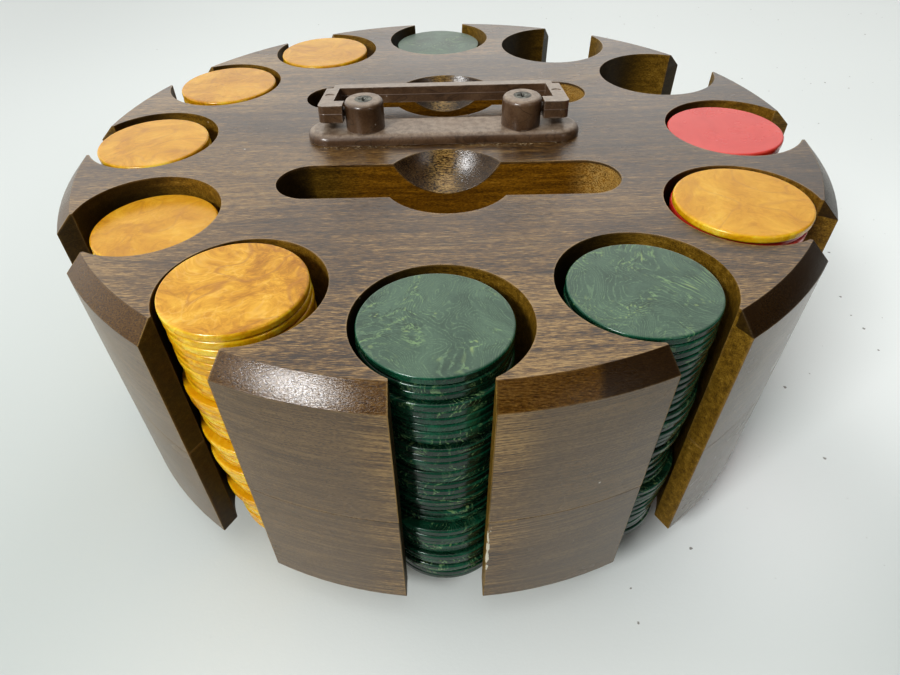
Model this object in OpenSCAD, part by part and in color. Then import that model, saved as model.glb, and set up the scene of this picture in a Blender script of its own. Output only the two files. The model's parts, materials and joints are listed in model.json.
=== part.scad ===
// Round revolving poker chip rack: a laminated wood block with twelve open-sided
// chip wells, two card slots and a folding bail handle, on a low ball-bearing foot.
// Millimetres, +Z up. The origin is the centre of the foot on the table.
// X runs along the card slots and the handle, and -Y is the front.

/* [Wood block] */
// Outside diameter of the block
rack_d = 254; // [248:1:270]
// Height of the whole block
rack_h = 88.9; // [80:0.1:100]
// Height of the lower of the two glued layers
lower_h = 41.6; // [36:0.1:50]
// Height of the bevel round the top edge
bevel_h = 5; // [2:0.5:8]
// Width of the bevel round the top edge
bevel_w = 5.4; // [2:0.2:6]

/* [Chip wells] */
// Diameter of each chip well
well_d = 44.45; // [42:0.05:46]
// Radius of the circle on which the well centres lie
well_ring_r = 101.2; // [98:0.1:103]
// Width of the open side of each well
throat_w = 23; // [18:0.5:26]

/* [Chips] */
// Diameter of a chip
chip_d = 38.1; // [36:0.1:39]
// Thickness of a chip
chip_t = 2.49; // [2.3:0.01:3.4]
// Smallest gap between a chip's edge and the wall of its well
chip_gap = 0.4; // [0.2:0.1:1]

/* [Card slots] */
// Length of each card slot
slot_l = 107.5; // [96:0.5:112]
// Width of each card slot
slot_w = 21; // [16:0.5:22]
// Depth of each card slot
slot_depth = 57; // [50:1:64]
// Distance from the rack's centre line to a card slot's centre line
slot_y = 33.4; // [32:0.1:36]
// How far the card slots are cut to the right of the rack's centre
slot_right = 2.3; // [0:0.1:3]
// Radius of the ball-shaped finger dish, where it meets the top
dish_r = 20.4; // [16:0.1:21]
// Radius of the ball that the finger dish is cut with
dish_ball_r = 22.2; // [21.5:0.1:30]

/* [Handle] */
// Length of the handle's base plate
plate_l = 93.4; // [88:0.2:100]
// Width of the base plate
plate_w = 16; // [14:0.5:20]
// Thickness of the base plate
plate_t = 3.4; // [2.6:0.1:3.6]
// How far the handle sits in front of the rack's centre
handle_forward = 1.5; // [0:0.5:4]
// How far the handle sits to the right of the rack's centre
handle_right = 1.2; // [0:0.1:3]
// Distance between the centres of the two posts
post_gap = 53.2; // [48:0.2:56]
// Diameter of a post
post_d = 13.2; // [12:0.1:14]
// Height of a post above the base plate
post_h = 9.5; // [9:0.1:12]
// Height of the bail's pivot above the wood
pivot_h = 8.9; // [8.8:0.1:9.4]
// Width across the bail, outside
bail_w = 84; // [80.4:0.2:86]
// Width of the bail's arms
bail_arm = 4.8; // [4:0.1:5]
// Height of the bail's section
bail_t = 5.4; // [4.6:0.1:5.6]
// Distance from the pivot to the outer face of the grip
bail_reach = 25.3; // [22:0.1:28]
// Angle at which the grip hangs below level when the bail is folded back
bail_droop = 7.4; // [0:0.1:12]

/* [Foot and turntable] */
// Thickness of the felt pad on the table
felt_t = 1.5; // [1:0.1:3]
// Diameter of the foot disc
foot_d = 152; // [130:1:170]
// Thickness of the foot disc
foot_t = 6; // [5:0.1:10]
// Height of the ball bearing between the foot and the floor
bearing_h = 6; // [5.6:0.1:7]
// Thickness of the bearing's stamped plates
race_t = 1.2; // [1:0.1:1.4]
// Radius of the ball race
race_r = 30; // [28:0.5:32]
// Diameter of a bearing ball
ball_d = 4; // [3.9:0.1:4]
// Number of bearing balls
ball_n = 16; // [8:1:24]
// Diameter of the floor disc under the wells
floor_d = 216; // [210:1:220]
// Thickness of the floor disc
floor_t = 3.2; // [3:0.1:5]

/* [Hidden] */
$fn = 96;

// levels, from the table up
foot_z = felt_t;
bearing_z = foot_z + foot_t;
floor_z = bearing_z + bearing_h;
wood_z = floor_z + floor_t;
seam_z = wood_z + lower_h;
top_z = wood_z + rack_h;
pivot_z = top_z + pivot_h;

// the wells: number 1 is at the front, and they count anticlockwise seen from above
well_n = 12;
well_step = 360 / well_n;
slot_bottom_z = top_z - slot_depth;
dish_rise = sqrt(dish_ball_r * dish_ball_r - dish_r * dish_r);
cut = 1;

// handle
pin_r = 1.5;
pin_clear = 0.05;
pin_l = 3.5;
side_clear = 0.45;
bail_end_x = post_gap / 2 + post_d / 2 + side_clear;
bail_back_corner = 5;
bail_front_corner = 2.4;
bail_front = 4.2;
bail_end_back = 2.6;
bail_grip = 5.4;
eject_mark_r = 1.6;
eject_mark_depth = 0.25;
plate_edge_r = 2.4;
post_edge_r = 1.5;

// screws: [head radius, head height, shank radius]
handle_screw = [2.95, 2.0, 1.6];
handle_screw_l = 32;
floor_screw = [3.4, 2.2, 1.7];
floor_screw_l = 16;
floor_screw_r = 68;
foot_screw = [3.2, 2.1, 1.5];
foot_screw_l = foot_t + race_t;
foot_screw_r = 20;
race_screw = [3.0, 1.6, 1.5];
race_screw_l = 14;
screw_clear = 0.05;
recess_w = 0.9;
recess_depth = 1.1;

// turntable
ball_z = bearing_z + bearing_h / 2;
ball_clear = 0.04;
upper_race_r = 43;
lower_race_r = 35;
race_screw_r = 39;
eyelet_r = 4;
eyelet_bore_r = 3;
eyelet_clear = 0.08;
eyelet_flange_r = 6.5;
eyelet_flange_t = 0.8;
eyelet_room_r = 9;
cage_t = 1;
cage_w = 7;
cage_hole_clear = 0.1;
felt_edge = 3;

// chips: the worn chips of some stacks are thinner than the rest
chip_worn_t = chip_t - 0.02;
chip_play = 0.05;
chip_stray = (well_d - chip_d) / 2 - chip_gap;
scatter_top = 0.3;
scatter_floor = 0.6;
ledge_fade = 0.78;
green = "#1f5a3c";
red = "#e8605a";
yellow = "#e3a02c";

// ---- shared shapes ----

// turn and shift the children to a place on a ring round the Z axis
module on_ring(angle, radius) rotate(angle) translate([radius, 0, 0]) children();

// half outline of a disc with a rounded upper edge, for rotate_extrude
module rounded_disc_outline(r, h, edge) {
    square([r, h - edge]);
    square([r - edge, h]);
    translate([r - edge, h - edge]) intersection() {
        circle(edge);
        square(edge);
    }
}

// countersunk screw pointing down -Z from a flush head at z = 0
module flat_screw(kind, length) {
    difference() {
        union() {
            translate([0, 0, -kind[1]]) cylinder(r1 = kind[2], r2 = kind[0], h = kind[1]);
            translate([0, 0, -length]) cylinder(r = kind[2], h = length - kind[1] / 2);
            translate([0, 0, -length - kind[2]]) cylinder(r1 = 0.2, r2 = kind[2], h = kind[2]);
        }
        cross_recess(kind[0]);
    }
}

// cross-shaped driver recess in a screw head at z = 0
module cross_recess(head_r) {
    for (a = [0, 90]) rotate(a)
        translate([-head_r * 0.6, -recess_w / 2, -recess_depth])
            cube([head_r * 1.2, recess_w, recess_depth + cut]);
}

// hole for a flat_screw, with a little clearance all round
module flat_screw_hole(kind, length) {
    r = kind[2] + screw_clear;
    head_r = kind[0] + screw_clear;
    translate([0, 0, -kind[1]]) cylinder(r1 = r, r2 = head_r, h = kind[1]);
    cylinder(r = head_r, h = cut);
    translate([0, 0, -length - kind[2] - cut]) cylinder(r = r, h = length + kind[2] + cut);
}

// ---- wood block ----

// solid block between two heights, bevelled round the top edge
module block(z0, z1) {
    r = rack_d / 2;
    intersection() {
        translate([0, 0, z0]) cylinder(r = r, h = z1 - z0, $fn = 180);
        union() {
            translate([0, 0, z0]) cylinder(r = r, h = top_z - bevel_h - z0, $fn = 180);
            translate([0, 0, top_z - bevel_h])
                cylinder(r1 = r, r2 = r - bevel_w, h = bevel_h, $fn = 180);
        }
    }
}

// one chip well with its open side
module well_cut(z0, z1) {
    translate([0, 0, z0 - cut]) cylinder(d = well_d, h = z1 - z0 + 2 * cut);
    translate([0, -throat_w / 2, z0 - cut]) cube([rack_d, throat_w, z1 - z0 + 2 * cut]);
}

// one card slot with its ball-shaped finger dish
module card_slot_cut() {
    half = (slot_l - slot_w) / 2;
    depth = slot_depth + cut;
    for (x = [-half, half]) translate([x, 0, slot_bottom_z]) cylinder(d = slot_w, h = depth);
    translate([-half, -slot_w / 2, slot_bottom_z]) cube([2 * half, slot_w, depth]);
    translate([0, 0, top_z + dish_rise]) sphere(r = dish_ball_r);
}

// everything that is cut out of both layers, between two heights
module block_cuts(z0, z1) {
    for (i = [0 : well_n - 1]) on_ring(-90 + i * well_step, well_ring_r) well_cut(z0, z1);
    for (side = [-1, 1]) translate([slot_right, side * slot_y, 0]) card_slot_cut();
}

module upper_layer() {
    color("#6e6152") difference() {
        block(seam_z, top_z);
        block_cuts(seam_z, top_z);
        at_posts() translate([0, 0, top_z + plate_t + post_h])
            flat_screw_hole(handle_screw, handle_screw_l);
    }
}

module lower_layer() {
    color("#6a5c4d") difference() {
        block(wood_z, seam_z);
        block_cuts(wood_z, seam_z);
        at_floor_screws() flat_screw_hole(floor_screw, floor_screw_l);
        at_race_screws() pan_screw_hole();
    }
}

// ---- floor ----

module at_floor_screws() {
    for (a = [30 : 60 : 330]) on_ring(a, floor_screw_r)
        translate([0, 0, floor_z]) mirror([0, 0, 1]) children();
}

module floor_disc() {
    color("#8a7152") difference() {
        translate([0, 0, floor_z]) cylinder(d = floor_d, h = floor_t, $fn = 180);
        translate([0, 0, floor_z - cut]) cylinder(r = eyelet_room_r, h = floor_t + 2 * cut);
        at_floor_screws() flat_screw_hole(floor_screw, floor_screw_l);
        at_race_screws() pan_screw_hole();
    }
}

module floor_screws() {
    color("#8d8a82") at_floor_screws() flat_screw(floor_screw, floor_screw_l);
}

// ---- turntable ----

module ball_groove() {
    translate([0, 0, ball_z]) rotate_extrude() translate([race_r, 0])
        circle(d = ball_d + 2 * ball_clear);
}

module at_race_screws() {
    for (a = [0 : 90 : 270]) on_ring(a, race_screw_r)
        translate([0, 0, floor_z - race_t]) children();
}

// pan-head screw pointing up +Z, its head hanging below z = 0
module pan_screw() {
    difference() {
        union() {
            translate([0, 0, -race_screw[1]]) cylinder(r = race_screw[0], h = race_screw[1]);
            cylinder(r = race_screw[2], h = race_screw_l);
        }
        translate([0, 0, -race_screw[1]]) mirror([0, 0, 1]) cross_recess(race_screw[0]);
    }
}

module pan_screw_hole() {
    translate([0, 0, -cut]) cylinder(r = race_screw[2] + screw_clear, h = race_screw_l + 2 * cut);
}

module upper_race_plate() {
    color("#9a9a96") difference() {
        translate([0, 0, floor_z - race_t]) cylinder(r = upper_race_r, h = race_t);
        translate([0, 0, floor_z - race_t - cut])
            cylinder(r = eyelet_r + eyelet_clear, h = race_t + 2 * cut);
        ball_groove();
        at_race_screws() pan_screw_hole();
    }
}

module race_plate_screws() {
    color("#8d8a82") at_race_screws() pan_screw();
}

module lower_race_plate() {
    color("#8f8f8b") difference() {
        translate([0, 0, bearing_z]) cylinder(r = lower_race_r, h = race_t);
        translate([0, 0, bearing_z - cut])
            cylinder(r = eyelet_r + eyelet_clear, h = race_t + 2 * cut);
        ball_groove();
        at_foot_screws() flat_screw_hole(foot_screw, foot_screw_l);
    }
}

// hollow rivet that holds the two plates together and is the turning axis
module centre_eyelet() {
    z0 = bearing_z - eyelet_flange_t - eyelet_clear;
    z1 = floor_z + eyelet_flange_t;
    color("#b3aa8c") difference() {
        union() {
            translate([0, 0, z0]) cylinder(r = eyelet_r, h = z1 - z0);
            translate([0, 0, z0]) cylinder(r = eyelet_flange_r, h = eyelet_flange_t);
            translate([0, 0, floor_z]) cylinder(r = eyelet_flange_r, h = eyelet_flange_t);
        }
        translate([0, 0, z0 - cut]) cylinder(r = eyelet_bore_r, h = z1 - z0 + 2 * cut);
    }
}

module at_balls() {
    for (i = [0 : ball_n - 1]) on_ring(i * 360 / ball_n, race_r)
        translate([0, 0, ball_z]) children();
}

module bearing_balls() {
    color("#c8c8c8") at_balls() sphere(d = ball_d, $fn = 32);
}

module ball_cage() {
    color("#e4dfd0") difference() {
        translate([0, 0, ball_z - cage_t / 2]) cylinder(r = race_r + cage_w / 2, h = cage_t);
        translate([0, 0, ball_z - cage_t]) cylinder(r = race_r - cage_w / 2, h = 2 * cage_t);
        at_balls() translate([0, 0, -cage_t]) cylinder(d = ball_d + 2 * cage_hole_clear, h = 2 * cage_t);
    }
}

// ---- foot ----

module at_foot_screws() {
    for (a = [45 : 90 : 315]) on_ring(a, foot_screw_r)
        translate([0, 0, foot_z]) mirror([0, 0, 1]) children();
}

module foot_disc() {
    color("#5d4a38") difference() {
        translate([0, 0, foot_z]) cylinder(d = foot_d, h = foot_t);
        translate([0, 0, foot_z - cut]) cylinder(r = eyelet_room_r, h = foot_t + 2 * cut);
        at_foot_screws() flat_screw_hole(foot_screw, foot_screw_l);
    }
}

module foot_screws() {
    color("#8d8a82") at_foot_screws() flat_screw(foot_screw, foot_screw_l);
}

module felt_pad() {
    color("#3f4a3a") cylinder(d = foot_d - 2 * felt_edge, h = felt_t);
}

// ---- handle ----

module at_handle() translate([handle_right, -handle_forward, 0]) children();

module at_posts() at_handle() for (x = [-1, 1]) translate([x * post_gap / 2, 0, 0]) children();

module handle_plate() {
    half = (plate_l - plate_w) / 2;
    color("#6b5148") difference() {
        at_handle() translate([0, 0, top_z]) {
            for (x = [-half, half]) translate([x, 0, 0])
                rotate_extrude() rounded_disc_outline(plate_w / 2, plate_t, plate_edge_r);
            translate([-half, 0, 0]) rotate([90, 0, 90]) linear_extrude(2 * half) {
                rounded_disc_outline(plate_w / 2, plate_t, plate_edge_r);
                mirror([1, 0]) rounded_disc_outline(plate_w / 2, plate_t, plate_edge_r);
            }
        }
        at_posts() translate([0, 0, top_z + plate_t + post_h])
            flat_screw_hole(handle_screw, handle_screw_l);
    }
}

// one post, with its pivot pin pointing outwards: side is -1 for left and 1 for right
module post(side) {
    z = top_z + plate_t;
    color("#70564c") at_handle() translate([side * post_gap / 2, 0, 0]) difference() {
        union() {
            translate([0, 0, z]) rotate_extrude()
                rounded_disc_outline(post_d / 2, post_h, post_edge_r);
            translate([0, 0, pivot_z]) rotate([0, side * 90, 0])
                cylinder(r = pin_r, h = post_d / 2 + side_clear + pin_l);
        }
        translate([0, 0, z + post_h]) flat_screw_hole(handle_screw, handle_screw_l);
    }
}

module left_post() post(-1);

module right_post() post(1);

module handle_screws() {
    color("#5c5f5a") at_posts() translate([0, 0, top_z + plate_t + post_h])
        flat_screw(handle_screw, handle_screw_l);
}

// outline of the bail seen from above, with the pivot line at y = 0
module bail_outline() {
    w = bail_w / 2;
    difference() {
        union() {
            translate([-w, bail_front_corner - bail_front])
                square([bail_w, bail_front + bail_reach - bail_front_corner - bail_back_corner]);
            translate([-w + bail_front_corner, -bail_front])
                square([bail_w - 2 * bail_front_corner, bail_front + bail_reach]);
            for (x = [-1, 1]) {
                translate([x * (w - bail_front_corner), bail_front_corner - bail_front])
                    circle(bail_front_corner);
            }
        }
        translate([-w + bail_arm, bail_end_back])
            square([bail_w - 2 * bail_arm, bail_reach - bail_grip - bail_end_back]);
        translate([-bail_end_x, -bail_front - cut])
            square([2 * bail_end_x, bail_front + bail_end_back + 2 * cut]);
        for (x = [-1, 1]) translate([x * w, bail_reach]) difference() {
            square(2 * bail_back_corner, center = true);
            translate([-x * bail_back_corner, -bail_back_corner]) circle(bail_back_corner);
        }
    }
}

module handle_bail() {
    w = bail_w / 2;
    color("#6b5148") at_handle() translate([0, 0, pivot_z]) rotate([-bail_droop, 0, 0])
        difference() {
            translate([0, 0, -bail_t / 2]) linear_extrude(bail_t) bail_outline();
            for (side = [-1, 1]) translate([side * (bail_end_x - cut), 0, 0])
                rotate([0, side * 90, 0]) cylinder(r = pin_r + pin_clear, h = pin_l + cut + 0.5);
            for (x = [-1, 1])
                translate([x * (w - bail_arm / 2), bail_reach / 2 - 2, bail_t / 2 - eject_mark_depth])
                    cylinder(r = eject_mark_r, h = cut);
        }
}

// ---- chips ----

// shortens a sideways shift that would push a chip into the wall of its well
function kept_in(v) = v * min(1, chip_stray / max(norm(v), 0.01));

// How far outwards chip n, counted from the top, is carried by the ledges in its stack. A ledge
// is [its chip, how far that chip juts out], and the chips under it fall back step by step.
function jut(n, ledges, k = 0) = k == len(ledges) ? 0
    : jut(n, ledges, k + 1)
        + (n < ledges[k][0] ? 0 : ledges[k][1] * pow(ledge_fade, n - ledges[k][0]));

// A stack of count chips in a well. The top chip sits at the shift called top, and the stack
// drifts to the shift called bottom at the floor. The chips lie more loosely further down.
// A shift is [outwards, anticlockwise round the rack].
module chip_stack(well, count, t, top, bottom, seed, ledges = []) {
    scatter = rands(-1, 1, 2 * count, seed);
    on_ring(-90 + (well - 1) * well_step, well_ring_r)
        for (i = [0 : count - 1]) {
            depth = 1 - (i + 1) / count;
            loose = scatter_top + (scatter_floor - scatter_top) * depth;
            drift = top * (1 - depth) + bottom * depth + [jut(count - i, ledges), 0];
            shift = kept_in(drift + loose * [scatter[2 * i], scatter[2 * i + 1]]);
            translate([shift[0], shift[1], wood_z + chip_play + i * (t + chip_play)])
                cylinder(d = chip_d, h = t);
        }
}

module stack_01_green()
    color(green) chip_stack(1, 35, chip_t, [0.3, -1.4], [0.6, 0.2], 11,
        [[4, 0.8], [10, 1.6], [20, -2.4], [24, 3], [29, 1.4]]);

module stack_02_green()
    color(green) chip_stack(2, 35, chip_t, [1.4, -1.6], [0.8, 0.6], 12,
        [[12, 1], [19, -1.6], [25, 2]]);

module stack_03_red()
    color(red) chip_stack(3, 35, chip_worn_t, [-0.6, -0.6], [0.6, 0.4], 13, [[20, 1.4]]);

module stack_04_red()
    color(red) chip_stack(4, 35, chip_worn_t, [-2.7, -0.6], [0.4, 0.2], 14, [[24, 1.4]]);

module stack_07_green()
    color(green) chip_stack(7, 34, chip_t, [0, 0.4], [0.6, 0.2], 17, [[15, 1.6]]);

module stack_08_yellow()
    color(yellow) chip_stack(8, 35, chip_t, [-0.3, 1.5], [0.6, -0.2], 18, [[22, 1.8]]);

module stack_09_yellow()
    color(yellow) chip_stack(9, 35, chip_t, [-1.3, -0.1], [0.8, 0], 19, [[13, 1.6]]);

module stack_10_yellow()
    color(yellow) chip_stack(10, 35, chip_t, [-0.6, 2.2], [1, 0.4], 20, [[18, 1.8]]);

module stack_11_yellow()
    color(yellow) chip_stack(11, 33, chip_t, [-1.6, -0.7], [0.8, -0.4], 21, [[9, 1.6]]);

module stack_12_yellow()
    color(yellow) chip_stack(12, 36, chip_worn_t, [1.4, -0.6], [-1.8, -0.6], 22,
        [[11, 2.2], [18, 2.6], [22, 2], [29, 2]]);

module top_chip_03_yellow() {
    color(yellow) on_ring(-90 + 2 * well_step, well_ring_r)
        translate([-0.3, -2.2, wood_z + chip_play + 35 * (chip_worn_t + chip_play)])
            cylinder(d = chip_d, h = chip_worn_t);
}

upper_layer();
lower_layer();
floor_disc();
floor_screws();
upper_race_plate();
race_plate_screws();
centre_eyelet();
lower_race_plate();
bearing_balls();
ball_cage();
foot_disc();
foot_screws();
felt_pad();
handle_plate();
left_post();
right_post();
handle_screws();
handle_bail();
stack_01_green();
stack_02_green();
stack_03_red();
top_chip_03_yellow();
stack_04_red();
stack_07_green();
stack_08_yellow();
stack_09_yellow();
stack_10_yellow();
stack_11_yellow();
stack_12_yellow();
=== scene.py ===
"""Looks of the revolving poker chip rack: finishes, soft edges, floor, light and camera."""

import json
import math

import bpy
import numpy as np
from mathutils import Matrix, Vector


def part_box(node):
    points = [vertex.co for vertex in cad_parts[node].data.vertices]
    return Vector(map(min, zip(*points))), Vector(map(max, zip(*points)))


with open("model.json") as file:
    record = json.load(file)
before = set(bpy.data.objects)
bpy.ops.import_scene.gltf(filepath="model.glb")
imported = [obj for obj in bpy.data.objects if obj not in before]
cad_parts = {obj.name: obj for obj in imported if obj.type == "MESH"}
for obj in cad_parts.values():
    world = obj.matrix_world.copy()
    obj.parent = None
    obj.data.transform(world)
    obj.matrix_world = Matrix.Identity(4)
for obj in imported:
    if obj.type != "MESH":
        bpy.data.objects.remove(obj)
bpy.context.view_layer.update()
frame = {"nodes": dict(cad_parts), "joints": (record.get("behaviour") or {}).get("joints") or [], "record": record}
nodes = frame["nodes"]
record = frame["record"]
slot_of = {part["node"]: part["material_slot"] for part in record["subparts"]}
joint_of = {joint["name"]: joint for joint in frame["joints"]}
scene = bpy.context.scene

# ---- measures, in metres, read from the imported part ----
upper_lo, upper_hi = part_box("upper_layer")
lower_lo, lower_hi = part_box("lower_layer")
TOP_Z = upper_hi.z
SEAM_Z = upper_lo.z
WOOD_Z = lower_lo.z
RACK_R = (upper_hi.x - upper_lo.x) / 2
RACK_R_FULL = max(math.hypot(v.co.x, v.co.y) for v in nodes["lower_layer"].data.vertices)
BEVEL_H = 0.005
WELL_R = 0.022225
WELL_RING_R = 0.1012
WELL_STEP = math.pi / 6
THROAT_HALF = 0.0115
CHIP_PLAY = 0.00005
STANDARD_PITCH = 0.00254
MARBLED_STACK = "stack_12_yellow"
SLOT_X = 0.0023
SLOT_Y = 0.0334
DISH_R = 0.0222
DISH_Z = TOP_Z + 0.00876
plate_lo, plate_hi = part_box("handle_plate")
PLATE_X, PLATE_Y, _ = (plate_lo + plate_hi) / 2
PLATE_R = (plate_hi.y - plate_lo.y) / 2
PLATE_HALF = (plate_hi.x - plate_lo.x) / 2 - PLATE_R
PIVOT = Vector(joint_of["bail_fold"]["pos_m"])
DROOP = math.radians(7.4)


# ---- node helpers ----
class Shader:
    """A new node material, with short ways to add and join its nodes."""

    def __init__(self, name):
        self.mat = bpy.data.materials.new(name)
        self.mat.use_nodes = True
        self.tree = self.mat.node_tree
        self.tree.nodes.clear()
        self.out = self.tree.nodes.new("ShaderNodeOutputMaterial")

    def put(self, value, socket):
        if isinstance(value, bpy.types.NodeSocket):
            self.tree.links.new(value, socket)
        elif isinstance(value, (tuple, list)) and len(value) == 3 and socket.type == "RGBA":
            socket.default_value = (*value, 1)
        else:
            socket.default_value = value

    def add(self, kind, inputs=None, **settings):
        node = self.tree.nodes.new(kind)
        for key, value in settings.items():
            setattr(node, key, value)
        for key, value in (inputs or {}).items():
            self.put(value, node.inputs[key])
        return node

    def math(self, operation, *values, clamp=False):
        node = self.add("ShaderNodeMath", operation=operation, use_clamp=clamp)
        for socket, value in zip(node.inputs, values):
            self.put(value, socket)
        return node.outputs[0]

    def vector(self, operation, *values):
        node = self.add("ShaderNodeVectorMath", operation=operation)
        for socket, value in zip(node.inputs, values):
            self.put(value, socket)
        return node.outputs["Value" if operation in ("DOT_PRODUCT", "LENGTH") else "Vector"]

    def scaled(self, vector, factors):
        return self.vector("MULTIPLY", vector, factors)

    def step(self, value, low, high, to_low=0.0, to_high=1.0):
        """Smooth step: to_low where value is at or under low, to_high at or over high."""
        node = self.add("ShaderNodeMapRange", interpolation_type="SMOOTHSTEP")
        for key, number in zip(
            ("Value", "From Min", "From Max", "To Min", "To Max"),
            (value, low, high, to_low, to_high),
        ):
            self.put(number, node.inputs[key])
        return node.outputs[0]

    def near(self, value, centre, width):
        """1 where value is at centre, falling smoothly to 0 at width away from it."""
        away = self.math("ABSOLUTE", self.math("SUBTRACT", value, centre))
        return self.step(away, 0.0, width, 1.0, 0.0)

    def noise(self, vector, scale, detail=2.0, rough=0.5, distort=0.0, lacunarity=2.0):
        node = self.add(
            "ShaderNodeTexNoise",
            {
                "Vector": vector,
                "Scale": scale,
                "Detail": detail,
                "Roughness": rough,
                "Distortion": distort,
                "Lacunarity": lacunarity,
            },
        )
        return node.outputs["Fac"]

    def noise_vector(self, vector, scale, detail=2.0):
        """Noise as a vector whose parts lie around 0."""
        node = self.add(
            "ShaderNodeTexNoise", {"Vector": vector, "Scale": scale, "Detail": detail}
        )
        return self.vector("SUBTRACT", node.outputs["Color"], (0.5, 0.5, 0.5))

    def cells(self, vector, scale, dimensions="3D"):
        node = self.add(
            "ShaderNodeTexVoronoi",
            {"Vector": vector, "Scale": scale},
            voronoi_dimensions=dimensions,
        )
        return node.outputs["Distance"], node.outputs["Color"]

    def ramp(self, value, stops, ease="LINEAR"):
        node = self.add("ShaderNodeValToRGB", {"Fac": value})
        node.color_ramp.interpolation = ease
        elements = node.color_ramp.elements
        while len(elements) < len(stops):
            elements.new(0.5)
        for element, (place, colour) in zip(elements, stops):
            element.position = place
            element.color = (*colour, 1)
        return node.outputs["Color"]

    def mix(self, factor, a, b, blend="MIX"):
        node = self.add("ShaderNodeMix", data_type="RGBA", blend_type=blend, clamp_factor=True)
        self.put(factor, node.inputs[0])
        self.put(a, node.inputs[6])
        self.put(b, node.inputs[7])
        return node.outputs[2]

    def blend(self, factor, a, b):
        """Number between a and b."""
        node = self.add("ShaderNodeMix", data_type="FLOAT", clamp_factor=True)
        self.put(factor, node.inputs[0])
        self.put(a, node.inputs[2])
        self.put(b, node.inputs[3])
        return node.outputs[0]

    def split(self, vector):
        node = self.add("ShaderNodeSeparateXYZ", {"Vector": vector})
        return node.outputs[0], node.outputs[1], node.outputs[2]

    def join(self, x, y, z):
        return self.add("ShaderNodeCombineXYZ", {"X": x, "Y": y, "Z": z}).outputs[0]

    def place(self):
        """Position in the part's own rest frame, in metres."""
        return self.add("ShaderNodeTexCoord").outputs["Object"]

    def normal(self):
        """The smooth normal of the surface, or its plain normal where the surface is level."""
        geometry = self.add("ShaderNodeNewGeometry")
        tilt = self.math("ABSOLUTE", self.split(geometry.outputs["True Normal"])[2])
        node = self.add("ShaderNodeMix", data_type="VECTOR")
        self.put(self.math("GREATER_THAN", tilt, 0.9995), node.inputs[0])
        self.put(geometry.outputs["Normal"], node.inputs[4])
        self.put(geometry.outputs["True Normal"], node.inputs[5])
        return node.outputs[1]

    def rest_normal(self):
        """Surface normal in the part's own rest frame, so that it doesn't turn with a joint."""
        return self.add(
            "ShaderNodeVectorTransform",
            {"Vector": self.normal()},
            vector_type="NORMAL",
            convert_from="WORLD",
            convert_to="OBJECT",
        ).outputs[0]

    def edge(self, radius, samples=4):
        """Near 1 on the rounded edges of the part and 0 on its faces."""
        soft = self.add("ShaderNodeBevel", {"Radius": radius}, samples=samples).outputs[0]
        flat = self.normal()
        turn = self.math("SUBTRACT", 1.0, self.vector("DOT_PRODUCT", soft, flat))
        return self.step(turn, 0.01, 0.16)

    def bump(self, height, distance, strength=1.0):
        return self.add(
            "ShaderNodeBump",
            {"Height": height, "Distance": distance, "Strength": strength, "Normal": self.normal()},
        ).outputs[0]

    def surface(self, **inputs):
        """The principled surface. Input names are written with _ for a space."""
        node = self.add("ShaderNodeBsdfPrincipled")
        for key, value in inputs.items():
            self.put(value, node.inputs[key.replace("_", " ")])
        self.tree.links.new(node.outputs[0], self.out.inputs["Surface"])
        return self.mat


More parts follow.
